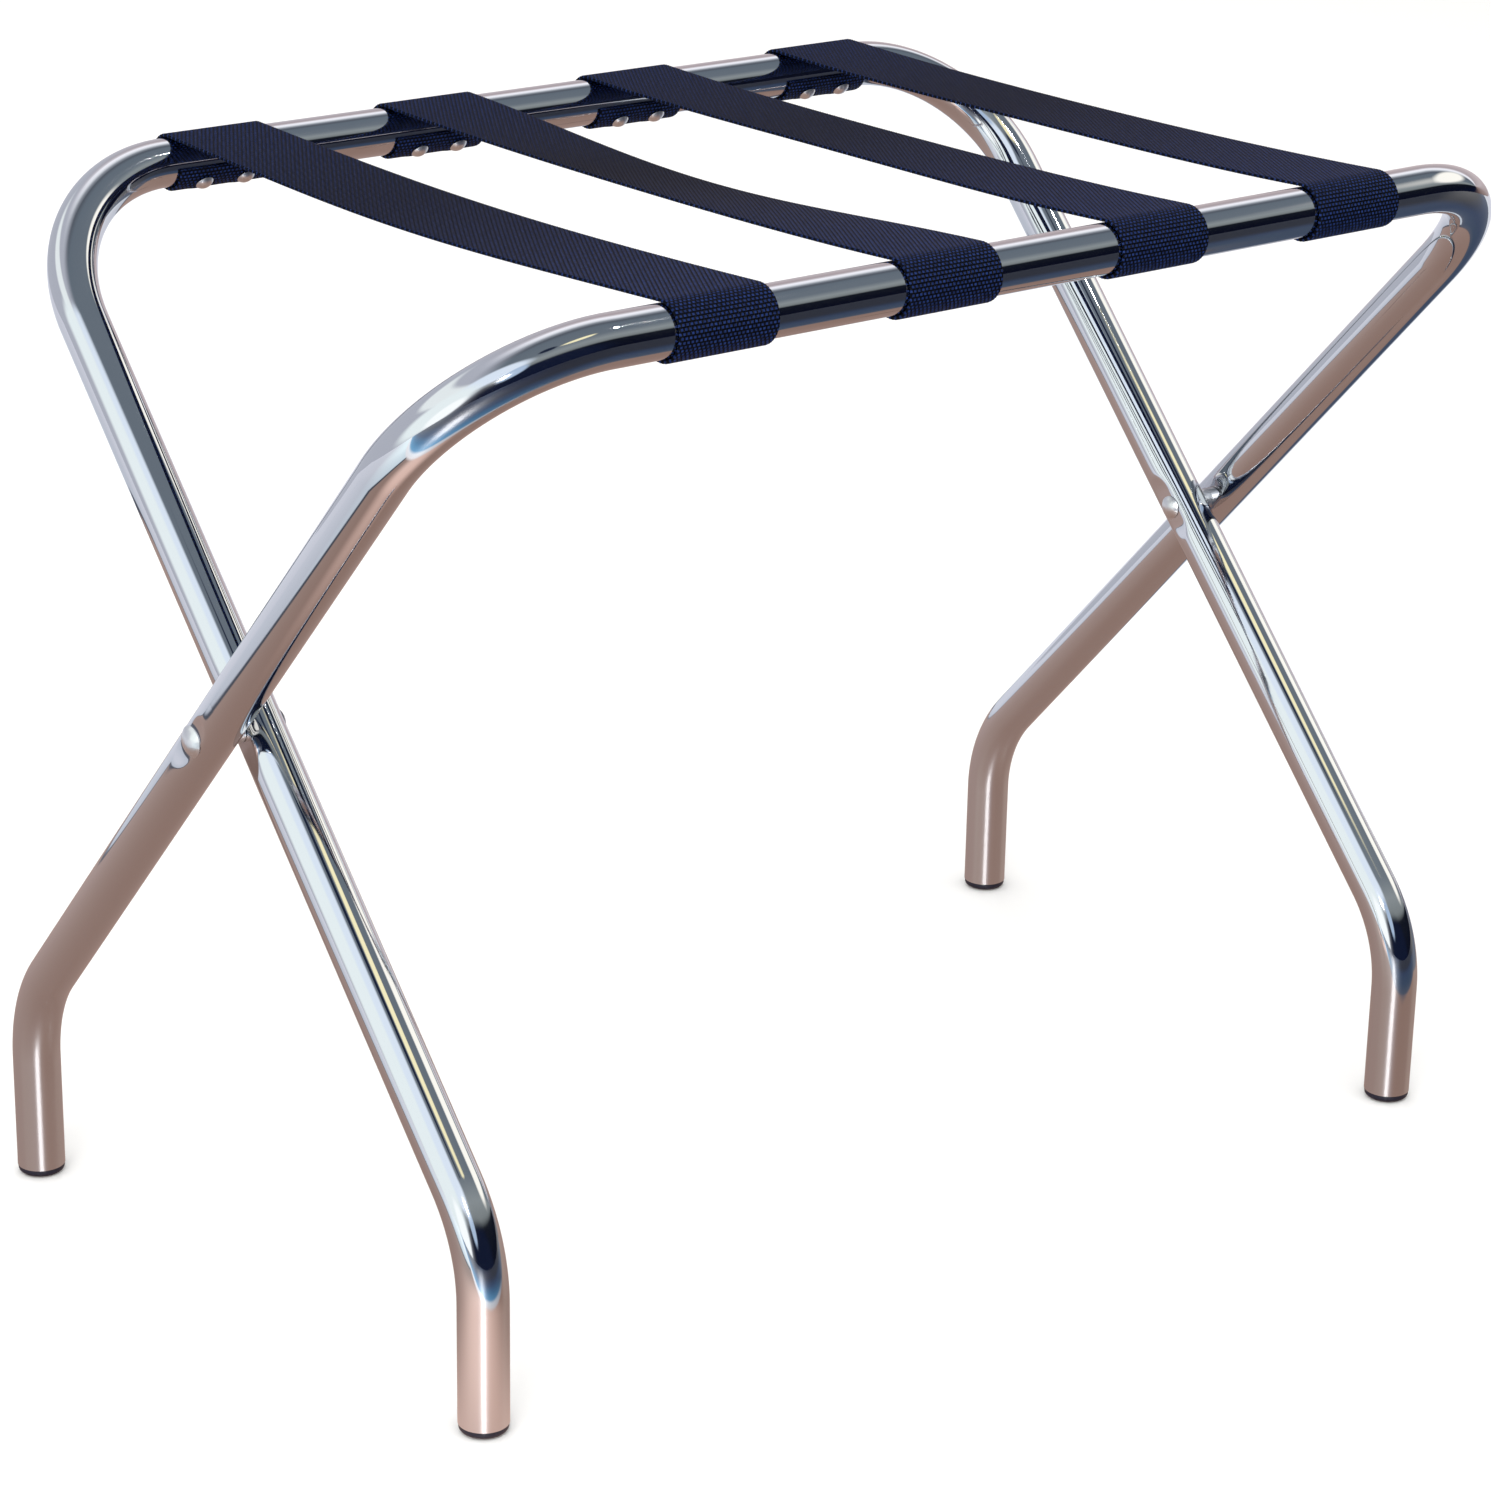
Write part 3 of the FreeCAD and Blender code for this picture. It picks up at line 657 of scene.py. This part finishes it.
def weaveStrap(sizes, route):
    deselectAll()
    start = math.radians(sizes["cutAngle"])
    place = nearRail + Vector((0, math.cos(start), math.sin(start))) * route["middle"]
    bpy.ops.mesh.primitive_grid_add(x_subdivisions=sizes["acrossFaces"], y_subdivisions=1, size=1,
                                    location=place, rotation=(start, 0, 0))
    strap = bpy.context.object
    strap.scale = (strapWidth, sizes["thickness"], 1)
    bpy.ops.object.transform_apply()
    # round the selvedges: the four corners of the section
    bpy.ops.object.mode_set(mode="EDIT")
    bpy.ops.mesh.select_mode(type="VERT")
    bpy.ops.mesh.select_all(action="DESELECT")
    bpy.ops.object.mode_set(mode="OBJECT")
    for corner in strap.data.vertices:
        corner.select = abs(corner.co.x) > strapWidth / 2 - sizes["tiny"]
    bpy.ops.object.mode_set(mode="EDIT")
    bpy.ops.mesh.bevel(offset=sizes["edgeRound"], segments=3, affect="VERTICES")
    bpy.ops.mesh.select_all(action="SELECT")
    wrapSteps = sizes["rowsPerWrap"] * sizes["stepsPerRow"]
    spanSteps = sizes["rowsPerSpan"] // sizes["rowsPerSpanStep"]
    for centre, sweep, steps in ((nearRail, route["wrapSweep"], wrapSteps),
                                 (route["centre"], -2 * route["dip"], spanSteps),
                                 (farRail, route["wrapSweep"], wrapSteps)):
        bpy.ops.mesh.spin(steps=steps, angle=sweep, center=centre, axis=(1, 0, 0), use_auto_merge=False)
    # the span's long edges are divided into rows
    bpy.ops.mesh.select_mode(type="EDGE")
    bpy.ops.mesh.select_all(action="DESELECT")
    bpy.ops.object.mode_set(mode="OBJECT")
    stepLength = route["spanLength"] / spanSteps
    vertices = strap.data.vertices
    for edge in strap.data.edges:
        ends = [vertices[i].co for i in edge.vertices]
        alongSpan = abs(ends[0].y - ends[1].y) > stepLength / 2
        edge.select = alongSpan and abs(ends[0].x - ends[1].x) < sizes["tiny"]
    bpy.ops.object.mode_set(mode="EDIT")
    bpy.ops.mesh.subdivide(number_cuts=sizes["rowsPerSpanStep"] * sizes["stepsPerRow"] - 1)
    bpy.ops.mesh.select_all(action="SELECT")
    bpy.ops.mesh.normals_make_consistent(inside=False)
    bpy.ops.object.mode_set(mode="OBJECT")
    return strap


def finishStrap(strap, sizes, route):
    mesh = strap.data
    places = [clothPlaceOf(v.co, route, sizes) for v in mesh.vertices]
    attribute = mesh.attributes.new("clothPlace", "FLOAT_VECTOR", "POINT")
    attribute.data.foreach_set("vector", [c for p in places for c in p])
    whole = 2 * route["wrapLength"] + route["spanLength"]
    wrapRow = route["wrapLength"] / sizes["rowsPerWrap"]
    spanRow = route["spanLength"] / sizes["rowsPerSpan"]
    rivetRun = route["middle"] * math.radians(sizes["cutAngle"] - sizes["rivetAngle"])
    grooves = strap.vertex_groups.new(name="grooves")
    pucker = strap.vertex_groups.new(name="pucker")
    for index, p in enumerate(places):
        run = min(p.x, whole - p.x)
        row = run / wrapRow if run < route["wrapLength"] else (run - route["wrapLength"]) / spanRow
        grooves.add([index], 0.5 + 0.5 * math.cos(2 * math.pi * row), "REPLACE")
        if p.z > 0:
            for side in (-1, 1):
                away = math.hypot(run - rivetRun, p.y - strapWidth / 2 - side * sizes["rivetPitch"] / 2)
                ring = math.exp(-((away - sizes["puckerRadius"]) / sizes["puckerWidth"]) ** 2)
                if ring > 0.02:
                    pucker.add([index], ring, "ADD")
    workOn(strap)
    for group, strength in (("grooves", -sizes["grooveDepth"]), ("pucker", sizes["puckerHeight"])):
        displace = strap.modifiers.new(group, "DISPLACE")
        displace.direction = "NORMAL"
        displace.mid_level = 0
        displace.strength = strength
        displace.vertex_group = group
        bpy.ops.object.modifier_apply(modifier=group)
    strap.vertex_groups.clear()
    bpy.ops.object.shade_smooth_by_angle(angle=math.radians(sizes["smoothAngle"]))


strapLie = {
    # each strap hangs a little differently: sideways drift, twist in degrees and extra sag at mid-span
    "strap_1": {"drift": -0.0015, "twist": 1.6, "sag": 0.0008},
    "strap_2": {"drift": -0.0010, "twist": -7.0, "sag": 0.0017},
    "strap_3": {"drift": 0.0008, "twist": -1.3, "sag": -0.0012},
    "strap_4": {"drift": -0.0008, "twist": -1.0, "sag": -0.0013},
}


def hangStrap(strap, name, route, lie):
    low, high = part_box(name)
    centre = (low.x + high.x) / 2
    places = strap.data.attributes["clothPlace"].data
    for vertex, place in zip(strap.data.vertices, places):
        share = (place.vector.x - route["wrapLength"]) / route["spanLength"]
        if 0 < share < 1:
            bell = math.sin(math.pi * share) ** 2
            turn = math.radians(lie["twist"]) * bell
            vertex.co.z += (place.vector.y - strapWidth / 2) * math.sin(turn) - lie["sag"] * bell
            vertex.co.x += lie["drift"] * bell
        vertex.co.x += centre


route = strapRoute(strapSizes)
baseStrap = weaveStrap(strapSizes, route)
finishStrap(baseStrap, strapSizes, route)
for name, lie in strapLie.items():
    strap = bpy.data.objects.new(f"{name}_webbing", baseStrap.data.copy())
    bpy.context.scene.collection.objects.link(strap)
    hangStrap(strap, name, route, lie)
    strap.data.materials.clear()
    strap.data.materials.append(webbing)
    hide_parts(name)
    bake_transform(strap)
    print(name, len(strap.data.polygons), "faces")
bpy.data.objects.remove(baseStrap)
